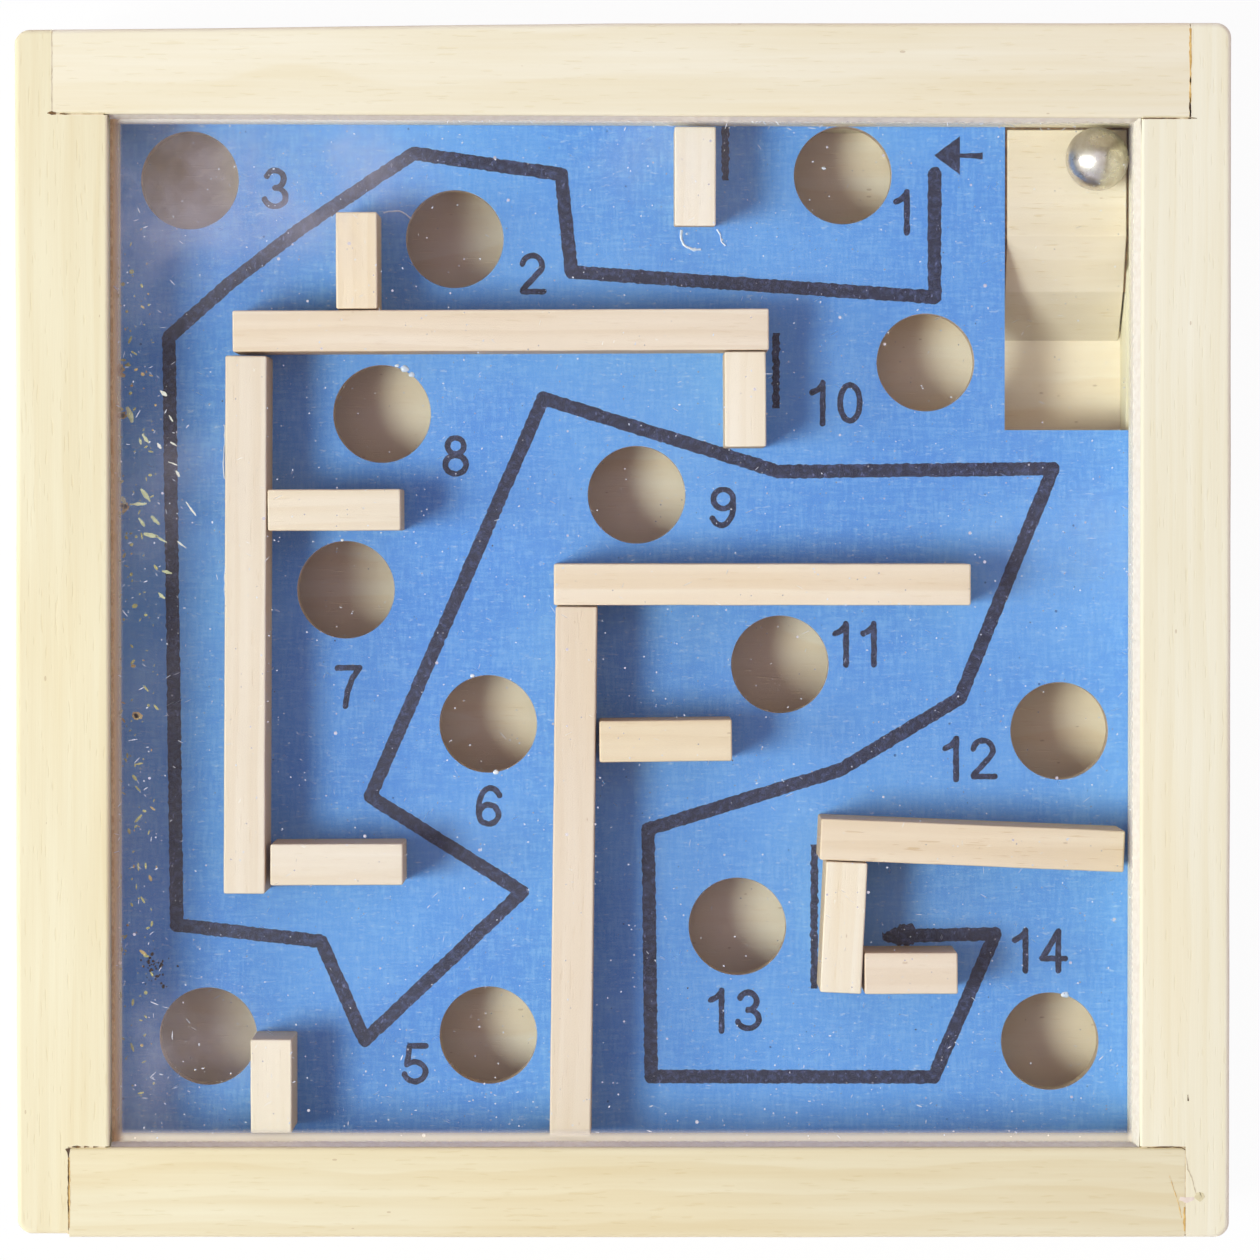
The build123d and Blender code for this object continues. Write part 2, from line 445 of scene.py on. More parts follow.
def sandRail(bm):
    look = railLook
    for vert in bm.verts:
        x, y = vert.co.xy
        if atOpening(y):
            vert.co.y -= look["topWidening"] * max(0, x - look["wideningStart"])
        if atOpening(-x):
            vert.co.x += look["leftStandsIn"]
        for axis in (0, 1):
            outward = 1 if vert.co[axis] > 0 else -1
            fadesAt, fullAt = look["half"] - look["skin"], look["half"] - look["skinFull"]
            share = ease(abs(vert.co[axis]), fadesAt, fullAt)
            if share:
                vert.co[axis] -= outward * share * sandingDepth(axis, outward, vert.co[1 - axis])
        lift = ease(vert.co.z, look["topFrom"], look["topFull"])
        uneven = look["topUneven"] * noise.noise(Vector((vert.co.x * 60, vert.co.y * 60, 3)))
        vert.co.z -= lift * (look["topDrop"] + uneven)


for node, tone in railLook["tones"].items():
    bm = mergedCopy(node)
    lengthwise = Vector((0, 1, 0)) if tone["grainTurn"] else Vector((1, 0, 0))
    sliceAcross(bm, lengthwise, -railLook["half"], railLook["half"], railLook["sliceStep"])
    sandRail(bm)
    wood = makeWood(node + "Pine", **tone)
    keepPiece(bm, node.replace("_", "") + "Wood", [wood], [node])
print("rails done")


# Base panel under the board, seen through the holes and from below
baseLook = {
    "edgeRound": 0.25 * mm,
    "sliceReach": 53 * mm,
    "sliceStep": 6 * mm,
    "tone": {
        "pale": (255, 248, 228), "dark": (242, 222, 186), "blush": (255, 248, 238), "dirt": 0.12,
        "pith": (0.4, 0.02, -0.09), "ringWidth": 3.5, "rings": 0.3, "wander": 16.0,
    },
}
bm = bmesh.new()
addBox(bm, *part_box("base_panel"))
roundEdges(bm, bm.edges[:], baseLook["edgeRound"], 2)
sliceReach = baseLook["sliceReach"]
sliceAcross(bm, Vector((1, 0, 0)), -sliceReach, sliceReach, baseLook["sliceStep"])
baseWood = makeWood("baseVeneer", **baseLook["tone"])
keepPiece(bm, "basePanelWood", [baseWood], ["base_panel"])


# Playing board: round holes, the well's cut-out and a print on top
boardLook = {
    "wellLeft": 38.5 * mm,
    "wellFoot": 20.1 * mm,
    "holeRadius": 4.9 * mm,
    "holeSteps": 96,
    "rimCut": 0.13 * mm,
    "blue": paint(107, 166, 236),
    "blueDeep": paint(92, 151, 229),
    "bluePale": paint(141, 193, 243),
    "speck": paint(190, 214, 240),
    "rawPale": paint(220, 200, 170),
    "rawDark": paint(176, 152, 122),
    "pit": paint(40, 60, 120),
    "fibre": (206, 196, 196),  # torn fibres at the foot of the rim cut
    "fibreDark": (150, 140, 146),
}
holeCentres = []
for number in range(1, 15):
    for opening in frame["record"]["physics"]["openings"]:
        if opening["name"] == f"hole_{number}":
            low, high = (Vector(corner) for corner in opening["box_m"])
            holeCentres.append((low + high) / 2)


def makePrintBlue():
    look = boardLook
    material, tree, shader, coords = newMaterial("printBlue")
    inMm = inMillimetres(tree, coords)
    broad = reach(tree, cloud(tree, inMm, (0.05, 0.05, 0.05), 3, 0.55), 0.35, 0.7)
    colour = blendColour(tree, broad, look["blueDeep"], look["blue"])
    across = cloud(tree, inMm, (0.5, 3.4, 1), 3, 0.6)
    upright = cloud(tree, inMm, (3.4, 0.5, 1), 3, 0.6)
    brushed = times(tree, plus(tree, across, upright), 0.5)
    colour = blendColour(tree, reach(tree, brushed, 0.42, 0.7, 0, 0.55), colour, look["bluePale"])
    fine = reach(tree, cloud(tree, inMm, (6.5, 6.5, 6.5), 2, 0.6), 0.52, 0.74, 0, 0.4)
    colour = blendColour(tree, fine, colour, look["bluePale"])
    scuffs = reach(tree, cloud(tree, inMm, (1.1, 3.2, 1), 3, 0.7), 0.6, 0.72, 0, 0.5)
    colour = blendColour(tree, scuffs, colour, look["speck"])
    dots = useGroup(tree, speckDots, {"Vector": coords, "Per Mm": 1.6, "Size": 0.12, "Share": 0.16})
    colour = blendColour(tree, times(tree, dots[0], 0.5), colour, look["speck"])
    pits = useGroup(tree, speckDots, {"Vector": coords, "Per Mm": 0.55, "Size": 0.06, "Share": 0.2})
    colour = blendColour(tree, times(tree, pits[0], 0.6), colour, look["pit"])
    tree.links.new(colour, shader.inputs["Base Color"])
    tree.links.new(reach(tree, brushed, 0.3, 0.7, 0.55, 0.68), shader.inputs["Roughness"])
    shader.inputs["Specular IOR Level"].default_value = 0.1
    addBump(tree, shader, fine, 0.02 * mm)
    return material


def makeRawBoard():
    look = boardLook
    material, tree, shader, coords = newMaterial("boardEdge")
    fluff = cloud(tree, inMillimetres(tree, coords), (3, 3, 9), 4, 0.65)
    colour = blendColour(tree, reach(tree, fluff, 0.3, 0.7), look["rawPale"], look["rawDark"])
    tree.links.new(colour, shader.inputs["Base Color"])
    tree.links.new(reach(tree, fluff, 0.3, 0.7, 0.85, 0.7), shader.inputs["Roughness"])
    addBump(tree, shader, fluff, 0.06 * mm)
    return material


def makeBoard():
    look = boardLook
    low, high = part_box("maze_board")
    left, foot = look["wellLeft"], look["wellFoot"]
    outline = [
        (low.x, low.y), (high.x, low.y), (high.x, foot),
        (left, foot), (left, high.y), (low.x, high.y),
    ]
    bm = bmesh.new()
    corners = [bm.verts.new((x, y, high.z)) for x, y in outline]
    for first, second in zip(corners, corners[1:] + corners[:1]):
        bm.edges.new((first, second))
    for centre in holeCentres:
        place = Matrix.Translation((centre.x, centre.y, high.z))
        bmesh.ops.create_circle(bm, segments=look["holeSteps"], radius=look["holeRadius"], matrix=place)
    bmesh.ops.triangle_fill(bm, use_beauty=True, edges=bm.edges[:])
    thicken(bm, low.z - high.z)
    bm.normal_update()
    rims = []
    for edge in bm.edges:
        onTop = all(abs(vert.co.z - high.z) < 0.01 * mm for vert in edge.verts)
        upright = any(abs(face.normal.z) < 0.5 for face in edge.link_faces)
        middle = (edge.verts[0].co + edge.verts[1].co) / 2
        near = min((middle.xy - centre.xy).length for centre in holeCentres)
        if onTop and upright and near < look["holeRadius"] + 0.1 * mm:
            rims.append(edge)
    roundEdges(bm, rims, look["rimCut"], 2)
    bm.normal_update()
    for face in bm.faces:
        if face.normal.z > 0.6:
            face.material_index = 0
        else:
            face.material_index = 2 if face.normal.z > 0.1 else 1
    tornFibre = makeCrumb("boardFibre", look["fibre"], look["fibreDark"])
    looks = [makePrintBlue(), makeRawBoard(), tornFibre]
    keepPiece(bm, "printedBoard", looks, ["maze_board"])


makeBoard()
print("board and base panel done")


frayScale = 2600  # bumps in a frayed side, for each metre of it


# One stroke: an edge is drawn out along the line, and rough frays its sides
def drawStroke(bm, line, width, level, rough=0.0, step=0.4 * mm, seed=0):
    knots = [Vector((point[0], point[1], level)) for point in line]
    widths = width if isinstance(width, (list, tuple)) else [width] * len(line)
    points, halves = [knots[0]], [widths[0] / 2]
    for start, end, startWidth, endWidth in zip(knots, knots[1:], widths, widths[1:]):
        parts = max(1, round((end - start).length / step))
        for part in range(1, parts + 1):
            share = part / parts
            points.append(start.lerp(end, share))
            halves.append((startWidth + (endWidth - startWidth) * share) / 2)
    edge = None
    for index, (point, half) in enumerate(zip(points, halves)):
        before = (point - points[index - 1]).normalized() if index else None
        after = (points[index + 1] - point).normalized() if index + 1 < len(points) else None
        ahead = ((before or after) + (after or before)).normalized()
        across = Vector((-ahead.y, ahead.x, 0))
        run = after or before
        mitre = half / max(0.3, across.dot(Vector((-run.y, run.x, 0))))
        frayPlace = point * frayScale
        fray = [rough * noise.noise(frayPlace + Vector((seed, side * 9, 0))) for side in (1, 2)]
        places = (point + across * (mitre + fray[0]), point - across * (mitre + fray[1]))
        if edge is None:
            pair = [bm.verts.new(place) for place in places]
            edge = bm.edges.new(pair)
            continue
        made = bmesh.ops.extrude_edge_only(bm, edges=[edge])["geom"]
        fresh = [item for item in made if isinstance(item, bmesh.types.BMVert)]
        fresh.sort(key=lambda vert: (vert.co - pair[0].co).length)
        for vert, place in zip(fresh, places):
            vert.co = place
        pair = fresh
        edge = next(item for item in made if isinstance(item, bmesh.types.BMEdge)
                    and all(vert in fresh for vert in item.verts))


# A line with round ends and corners: it is split at its bends, and a dot is laid on each.
# Strokes that overlap lie a hair above each other.
def drawRounded(bm, line, width, level, rough, seed=0):
    knots = [Vector(point) for point in line]
    runs = [[knots[0]]]
    for before, here, after in zip(knots, knots[1:], knots[2:]):
        runs[-1].append(here)
        if (here - before).angle(after - here) > math.radians(25):
            runs.append([here])
    runs[-1].append(knots[-1])
    for order, run in enumerate(runs):
        height = level + (order % 2) * inkLook["lift"]
        drawStroke(bm, [point[:] for point in run], width, height, rough, 0.2 * mm, seed + order)
    dots = [run[0] for run in runs] + [knots[-1]]
    for order, dot in enumerate(dots):
        height = level + (2 + order % 2) * inkLook["lift"]
        place = Matrix.Translation((dot.x, dot.y, height))
        made = bmesh.ops.create_circle(bm, cap_ends=True, segments=20, radius=width / 2,
                                       matrix=place)
        for vert in made["verts"]:
            outwards = (vert.co - place.translation).normalized()
            vert.co += outwards * rough * noise.noise(vert.co * frayScale + Vector((seed, order, 5)))


inkLook = {
    "thickness": 0.018 * mm,
    "lift": 0.002 * mm,
    "pathWidth": 1.36 * mm,
    "digitWidth": 0.58 * mm,
    "digitHeight": 4.2 * mm,
    "digitSpread": 1.07,
    "fray": 0.11 * mm,
    "tone": paint(38, 40, 62),
    "toneThin": paint(68, 76, 112),
    "pinholes": paint(120, 130, 176),
    "path": [
        (31.4, 45.95), (31.4, 33.5), (-5.25, 36.05), (-6.3, 45.9), (-21.15, 48.0), (-25.0, 45.5),
        (-32.6, 40.4), (-39.9, 34.8), (-45.9, 29.5), (-45.2, -29.95), (-30.6, -31.6), (-26.2, -41.65),
        (-10.25, -26.6), (-25.6, -16.95), (-8.1, 23.3), (15.65, 15.9), (43.4, 16.2), (34.0, -7.0),
        (21.8, -14.3), (2.5, -20.25), (2.8, -45.3), (31.4, -45.35), (37.6, -30.85), (28.6, -31.05),
    ],
    "pointers": [
        # line, its widths, how many lifts above the board, fray and seed
        ([(29.7, -31.1), (28.8, -31.0), (27.7, -31.05), (26.2, -31.1)], (0.9, 2.6, 1.9, 0.5), 5, 0.5, 3),
        ([(33.8, 47.8), (35.0, 47.78), (36.25, 47.75)], (0.34, 0.5, 0.66), 5, 0.06, 0),
        ([(33.95, 47.8), (31.4, 47.8)], (3.85, 0.1), 0, 0.06, 0),
    ],
    "guideMarks": [
        ((10.3, 50.7), (10.3, 45.3)), ((15.4, 29.9), (15.4, 22.3)), ((19.3, -21.8), (19.3, -36.4)),
    ],
    "guideWidth": 0.72 * mm,
    "fineStep": 0.15 * mm,
    "digitCentres": {
        "1": (28.2, 42.1), "2": (-9.2, 35.9), "3": (-35.1, 44.5), "5": (-21.1, -44.0),
        "6": (-13.7, -17.9), "7": (-27.8, -5.7), "8": (-16.95, 17.5), "9": (10.1, 12.3),
        "10": (21.3, 22.85), "11": (23.5, -1.5), "12": (34.8, -13.1), "13": (11.1, -38.6),
        "14": (41.85, -32.5),
    },
}


def arc(centreX, centreY, radiusX, radiusY, start, end, count=18):
    turns = [math.radians(start + (end - start) * part / count) for part in range(count + 1)]
    return [(centreX + radiusX * math.cos(turn), centreY + radiusY * math.sin(turn)) for turn in turns]


# Strokes of each digit, in shares of its height
sixStrokes = [
    arc(0.325, 0.300, 0.222, 0.232, 0, 360),
    [(0.103, 0.30), (0.103, 0.48)] + arc(0.365, 0.48, 0.262, 0.452, 176, 38, 12),
]
digitStrokes = {
    "0": [arc(0.31, 0.5, 0.222, 0.43, 90, 450, 26)],
    "1": [[(0.40, 0.0), (0.40, 0.985)], [(0.155, 0.745), (0.29, 0.82), (0.385, 0.93)]],
    "2": [arc(0.305, 0.70, 0.222, 0.232, 172, -38, 14) + [(0.10, 0.115), (0.095, 0.068), (0.57, 0.068)]],
    "3": [arc(0.295, 0.722, 0.195, 0.21, 160, -90, 14), arc(0.295, 0.288, 0.24, 0.222, 90, -165, 16)],
    "4": [[(0.44, 0.0), (0.44, 0.965)], [(0.425, 0.93), (0.075, 0.30), (0.60, 0.30)]],
    "5": [[(0.55, 0.93), (0.19, 0.93), (0.125, 0.48)] + arc(0.305, 0.305, 0.24, 0.238, 128, -165, 18)],
    "6": sixStrokes,
    "7": [[(0.06, 0.925), (0.56, 0.925), (0.40, 0.68), (0.29, 0.38), (0.24, 0.0)]],
    "8": [arc(0.31, 0.738, 0.185, 0.195, 0, 360), arc(0.31, 0.29, 0.235, 0.228, 0, 360)],
    "9": [[(0.63 - x, 1 - y) for x, y in stroke] for stroke in sixStrokes],
}


def makeInk():
    look = inkLook
    material, tree, shader, coords = newMaterial("printInk")
    inMm = inMillimetres(tree, coords)
    thin = reach(tree, cloud(tree, inMm, (1.6, 1.6, 1.6), 5, 0.75), 0.45, 0.68)
    colour = blendColour(tree, thin, look["tone"], look["toneThin"])
    gaps = useGroup(tree, speckDots, {"Vector": coords, "Per Mm": 3.2, "Size": 0.2, "Share": 0.2})
    colour = blendColour(tree, times(tree, gaps[0], 0.6), colour, look["pinholes"])
    scraped = reach(tree, cloud(tree, inMm, (2.4, 1.2, 1), 3, 0.7), 0.64, 0.7, 0, 0.7)
    colour = blendColour(tree, scraped, colour, look["pinholes"])
    tree.links.new(colour, shader.inputs["Base Color"])
    tree.links.new(reach(tree, thin, 0, 1, 0.42, 0.6), shader.inputs["Roughness"])
    shader.inputs["Specular IOR Level"].default_value = 0.3
    addBump(tree, shader, thin, 0.01 * mm)
    return material


printInk = makeInk()
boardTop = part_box("maze_board")[1].z


def scaled(line):
    return [(x * mm, y * mm) for x, y in line]


bm = bmesh.new()
drawRounded(bm, scaled(inkLook["path"]), inkLook["pathWidth"], boardTop, inkLook["fray"])
for line, widths, lifts, fray, seed in inkLook["pointers"]:
    level = boardTop + lifts * inkLook["lift"]
    widths = [width * mm for width in widths]
    drawStroke(bm, scaled(line), widths, level, fray * mm, inkLook["fineStep"], seed)
thicken(bm, inkLook["thickness"])
keepPiece(bm, "inkPath", [printInk])

bm = bmesh.new()
for seed, mark in enumerate(inkLook["guideMarks"]):
    drawStroke(bm, scaled(mark), inkLook["guideWidth"], boardTop, 0.2 * mm, inkLook["fineStep"], seed)
thicken(bm, inkLook["thickness"])
keepPiece(bm, "inkGuideMarks", [printInk])

bm = bmesh.new()
for number, centre in inkLook["digitCentres"].items():
    height = inkLook["digitHeight"]
    advance = (0.67 if number == "11" else 0.75) * height
    for place, digit in enumerate(number):
        middle = centre[0] * mm + (place - (len(number) - 1) / 2) * advance
        foot = centre[1] * mm - height / 2
        for seed, stroke in enumerate(digitStrokes[digit]):
            spread = inkLook["digitSpread"]
            line = [(middle + (x - 0.31) * spread * height, foot + y * height) for x, y in stroke]
            level = boardTop + 4 * seed * inkLook["lift"]
            drawRounded(bm, line, inkLook["digitWidth"], level, 0.07 * mm, seed)
thicken(bm, inkLook["thickness"])
keepPiece(bm, "inkNumbers", [printInk])
print("print done")


# Maze walls: square strips, each with its own length, tone and saw-cut ends
stripLook = {
    "edgeRound": 0.2 * mm,
    "sliceStep": 2.5 * mm,
    "uneven": 0.035 * mm,
    "common": {
        "ringWidth": 1.6, "rings": 0.18, "fibres": 0.5, "wander": 2.5, "bump": 0.03 * mm,
        # painted shade on the strips' side faces
        "sides": (232, 214, 186),
    },
    "underCut": {"start_stop": 0.4 * mm},  # how far the foot of its lower end stands back
    "endReach": 0.3 * mm,  # what counts as that end
    "tones": {
        "start_stop": {"pale": (250, 245, 230), "dark": (232, 218, 186)},
        "hole_two_guard": {"pale": (246, 236, 214), "dark": (224, 204, 164)},
        "upper_long_wall": {"pale": (240, 229, 208), "dark": (216, 194, 158), "pith": (0.2, 0.01, -0.02)},
        "upper_drop_wall": {"pale": (248, 242, 224), "dark": (230, 216, 186)},
        "left_long_wall": {"pale": (237, 228, 208), "dark": (214, 194, 160), "pith": (0.1, 0.06, 0.0)},
        "hole_eight_shelf": {"pale": (240, 232, 212), "dark": (220, 202, 168)},
        "left_lower_shelf": {"pale": (238, 230, 212), "dark": (216, 198, 164)},
        "hole_four_guard": {"pale": (246, 240, 224), "dark": (224, 210, 180)},
        "middle_cross_wall": {
            "pale": (244, 234, 212), "dark": (224, 202, 164), "pith": (0.3, -0.034, -0.0155),
            "ringWidth": 3.4, "rings": 0.4, "wander": 1.5,
        },
        "middle_long_wall": {"pale": (236, 225, 204), "dark": (216, 196, 164), "rings": 0.12},
        "middle_shelf": {"pale": (238, 225, 194), "dark": (216, 192, 150)},
        "finish_roof_wall": {"pale": (242, 229, 202), "dark": (216, 192, 152), "pores": 0.5},
        "finish_side_wall": {"pale": (248, 242, 222), "dark": (228, 210, 172)},
        "finish_floor_wall": {"pale": (240, 228, 206), "dark": (218, 196, 162)},
    },
}


# centre, long side and short side of the rectangle that a packed wall stands on
def wallFooting(node):
    low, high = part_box(node)
    places = []
    for vert in frame["nodes"][node].data.vertices:
        fresh = all((vert.co - place).length > 0.01 * mm for place in places)
        if abs(vert.co.z - low.z) < 0.01 * mm and fresh:
            places.append(vert.co.copy())
    others = sorted(places[1:], key=lambda place: (place - places[0]).length)
    centre = sum(places, Vector()) / len(places)
    return centre, others[1] - places[0], others[0] - places[0], high.z - low.z


for order, (node, tone) in enumerate(stripLook["tones"].items()):
    centre, longSide, shortSide, height = wallFooting(node)
    length, width = longSide.length, shortSide.length
    bm = bmesh.new()
    addBox(bm, (-length / 2, -width / 2, 0), (length / 2, width / 2, height))
    upper = [edge for edge in bm.edges if max(vert.co.z for vert in edge.verts) > height / 2]
    roundEdges(bm, upper, stripLook["edgeRound"], 3)
    sliceAcross(bm, Vector((1, 0, 0)), -length / 2, length / 2, stripLook["sliceStep"])
    for vert in bm.verts:
        bumpy = noise.noise_vector(vert.co * 260 + Vector((order * 3.1, 0, 0)))
        inward = Vector((vert.co.x / length, vert.co.y / width, vert.co.z / height - 0.5)) * 2
        away = Vector((1 if value > 0 else -1 for value in inward))
        for axis in range(3):
            if abs(inward[axis]) > 0.9 and vert.co.z > 0.1 * mm:
                vert.co[axis] -= away[axis] * stripLook["uneven"] * (0.5 + bumpy[axis])
    angle = math.atan2(longSide.y, longSide.x)
    place = Matrix.Translation(centre) @ Matrix.Rotation(angle, 4, "Z")
    bmesh.ops.transform(bm, matrix=place, verts=bm.verts)
    lowestY = min(vert.co.y for vert in bm.verts)
    for vert in bm.verts:
        if vert.co.y < lowestY + stripLook["endReach"] and vert.co.z < centre.z + height / 2:
            vert.co.y += stripLook["underCut"].get(node, 0)
    pith = (order * 0.037, 0.02 + 0.007 * (order % 5), -0.03)
    grain = {"grainTurn": math.degrees(angle), "pith": pith}
    wood = makeWood(node + "Strip", **{**grain, **stripLook["common"], **tone})
    keepPiece(bm, node.replace("_", "") + "Strip", [wood], [node])
print("maze walls done")


# Return ramp in the well
rampLook = {
    "edgeRound": 0.12 * mm,
    "swollen": 0.34 * mm,  # its right side comes close to the rail
    "swollenPast": 50 * mm,
    "tone": {
        "pale": (238, 230, 212), "dark": (218, 201, 164), "pores": 0.45,
        "pith": (0.7, 0.03, 0.012), "ringWidth": 5.5, "rings": 0.12, "wander": 2.0,
    },
}
bm = mergedCopy("return_ramp")
for vert in bm.verts:
    if vert.co.x > rampLook["swollenPast"]:
        vert.co.x += rampLook["swollen"]
roundEdges(bm, bm.edges[:], rampLook["edgeRound"], 2)
rampWood = makeWood("rampBlock", **rampLook["tone"])
keepPiece(bm, "returnRampWood", [rampWood], ["return_ramp"])

# painted shade: brown boxes that fill the gaps round the ramp's platform, just below the board's top,
# where the gaps show dark
paintedGapShade = {
    "top": 0.22 * mm,  # below the board's top
    "slopeDrop": 3.6 * mm,
    "slopeFrom": 35 * mm,  # below this place along Y the fill follows the slope
    "spots": [
        ((38.52, 50.4), (51.0, 51.0)),
        ((38.52, 39.7), (38.75, 50.4)), ((50.45, 39.7), (51.0, 50.4)),
        ((38.52, 34.2), (38.75, 39.7)), ((50.45, 34.2), (51.0, 39.7)),
    ],
}
bm = bmesh.new()
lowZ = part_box("base_panel")[1].z
for (lowX, lowY), (highX, highY) in paintedGapShade["spots"]:
    addBox(bm, (lowX * mm, lowY * mm, lowZ), (highX * mm, highY * mm, boardTop - paintedGapShade["top"]))
upper = [vert for vert in bm.verts if vert.co.z > lowZ + 1 * mm]
slopeFoot = [vert for vert in upper if vert.co.y < paintedGapShade["slopeFrom"]]
bmesh.ops.translate(bm, verts=slopeFoot, vec=(0, 0, -paintedGapShade["slopeDrop"]))
keepPiece(bm, "wellGapShadeBoxes", [makeCrumb("gapShadeBrown", (148, 118, 82), (96, 72, 50))])


# Steel ball
ballLook = {
    "rings": 48,
    "segments": 72,
    "steel": paint(216, 212, 206),
    "stained": paint(196, 188, 178),
}


def makeSteel():
    material, tree, shader, coords = newMaterial("ballSteel")
    haze = reach(tree, cloud(tree, inMillimetres(tree, coords), (0.8, 0.8, 0.8), 3, 0.6), 0.35, 0.7)
    colour = blendColour(tree, haze, ballLook["steel"], ballLook["stained"])
    tree.links.new(colour, shader.inputs["Base Color"])
    marks = useGroup(tree, hairScratches, {"Vector": coords, "Share": 0.25, "Width": 0.05})
    scratched = times(tree, marks[0], 0.2)
    rough = plus(tree, reach(tree, haze, 0, 1, 0.27, 0.34), scratched)
    tree.links.new(rough, shader.inputs["Roughness"])
    shader.inputs["Metallic"].default_value = 1
    return material


low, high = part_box("steel_ball")
bm = bmesh.new()
bmesh.ops.create_uvsphere(bm, u_segments=ballLook["segments"], v_segments=ballLook["rings"],
                          radius=(high.z - low.z) / 2, matrix=Matrix.Translation((low + high) / 2))
keepPiece(bm, "polishedBall", [makeSteel()], ["steel_ball"], "ball")
print("ramp and ball done")


# Clear cover, and the film of dust on it, with painted light along its edges
coverLook = {
    "edgeRound": 0.15 * mm,
    "filmThickness": 0.03 * mm,
    "filmHalf": 50.98 * mm,
    "filmGap": 0.02 * mm,
    "hazeLevel": 23.9,  # the film's height in millimetres, where the spots are centred
    "haze": 0.005,
    "leftHaze": 0.016,
    "hazeSpots": [
        # place, radius and amount
        (-42, 44, 18, 0.08), (-44, -42, 12, 0.05), (-28, 46, 13, 0.09), (-46, 14, 14, 0.03),
        # these two spots, by the top rail and by the right rail, are painted light that lightens the
        # board there; the others are dust
        (4, 46, 14, 0.03), (46, 10, 14, 0.02),
    ],
    # painted light and shade: bands at the film's edges, under the rails' lips, stand in for the rails'
    # lit inner faces, the tan one for the left rail's shaded inner face
    "edgePaintedLight": [
        # axis, where it starts, where it is full, amount and tone
        (0, 49.9, 50.7, 0.6, paint(254, 248, 232)),
        (1, 50.0, 50.6, 0.44, paint(250, 244, 234)),
        (1, -49.3, -50.3, 0.42, paint(252, 240, 220)),
        (0, -49.4, -50.6, 0.6, paint(248, 214, 160)),
    ],
    "dustTone": paint(236, 234, 228),
    "dustToneThick": paint(212, 208, 220),
    # painted light: strips that lie at the lips' feet and climb their faces
    "lipPaintedLightGap": 0.055 * mm,
    "lipPaintedLight": {
        "lipPaintedLightPale": [
            # line, width, and how far it climbs the lip
            ([(-51.0, 50.84), (51.0, 50.44)], 0.36, 1.5),
            ([(50.74, -51.0), (50.74, 51.0)], 0.54, 1.8),
            ([(-51.0, -50.84), (51.0, -50.84)], 0.36, 1.5),
        ],
        "lipPaintedLightTan": [([(-50.66, -51.0), (-50.66, 51.0)], 0.34, 0)],
    },
}


def makeClearCover():
    material, tree, shader, coords = newMaterial("clearCover")
    marks = useGroup(tree, hairScratches, {"Vector": coords, "Share": 0.3, "Width": 0.05})
    tree.links.new(reach(tree, marks[0], 0, 1, 0.02, 0.3), shader.inputs["Roughness"])
    shader.inputs["Base Color"].default_value = (1, 1, 1, 1)
    shader.inputs["Transmission Weight"].default_value = 1
    shader.inputs["IOR"].default_value = 1.2
    return material


# light goes straight through the cover and its dust, which only the camera and mirrors see
def letLightThrough(piece):
    piece.visible_shadow = False
    piece.visible_diffuse = False


def makeFilmOfDustAndEdgeLight():
    look = coverLook
    material, tree, shader, coords = newMaterial("dustAndEdgeLightOnCover")
    inMm = inMillimetres(tree, coords)
    patches = reach(tree, cloud(tree, inMm, (0.09, 0.09, 0.09), 4, 0.65), 0.35, 0.75, 0.4, 2.2)
    where = put(tree, "SeparateXYZ", {0: inMm}).outputs
    haze = plus(tree, reach(tree, where[0], -50, -41, look["leftHaze"], 0), look["haze"])
    # haze spots: dust, and two spots of painted light
    for x, y, radius, amount in look["hazeSpots"]:
        spot = {0: inMm, 1: (x, y, look["hazeLevel"])}
        away = put(tree, "VectorMath", spot, operation="DISTANCE").outputs[1]
        haze = plus(tree, haze, reach(tree, away, 0, radius, amount, 0))
    haze = times(tree, haze, patches)
    tone = blendColour(tree, patches, look["dustTone"], look["dustToneThick"])
    # painted light and shade: the edge bands are added over the dust
    for axis, low, high, amount, edgeLightTone in look["edgePaintedLight"]:
        rim = reach(tree, where[axis], low, high)
        haze = plus(tree, haze, times(tree, rim, amount))
        tone = blendColour(tree, rim, tone, edgeLightTone)
    fine = useGroup(tree, speckDots, {"Vector": coords, "Per Mm": 1.9, "Size": 0.13, "Share": 0.12})
    coarse = useGroup(tree, speckDots, {"Vector": coords, "Per Mm": 0.7, "Size": 0.1, "Share": 0.14})
    marks = useGroup(tree, hairScratches, {"Vector": coords, "Share": 0.07, "Width": 0.06})
    cover = plus(tree, haze, times(tree, fine[0], 0.4))
    cover = plus(tree, cover, times(tree, coarse[0], 0.6))
    cover = plus(tree, cover, times(tree, marks[0], 0.18), True)
    tree.links.new(cover, shader.inputs["Alpha"])
    tree.links.new(tone, shader.inputs["Base Color"])
    tree.links.new(reach(tree, patches, 0, 2, 0.8, 0.95), shader.inputs["Roughness"])
    return material


coverLow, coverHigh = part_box("clear_cover")
bm = bmesh.new()
addBox(bm, coverLow, coverHigh)
roundEdges(bm, bm.edges[:], coverLook["edgeRound"], 2)
letLightThrough(keepPiece(bm, "clearSheet", [makeClearCover()], ["clear_cover"]))

bm = bmesh.new()
filmHalf = coverLook["filmHalf"]
filmFoot = coverHigh.z + coverLook["filmGap"]
filmTop = filmFoot + coverLook["filmThickness"]
addBox(bm, (-filmHalf, -filmHalf, filmFoot), (filmHalf, filmHalf, filmTop))
letLightThrough(keepPiece(bm, "filmOfDustAndEdgeLight", [makeFilmOfDustAndEdgeLight()]))
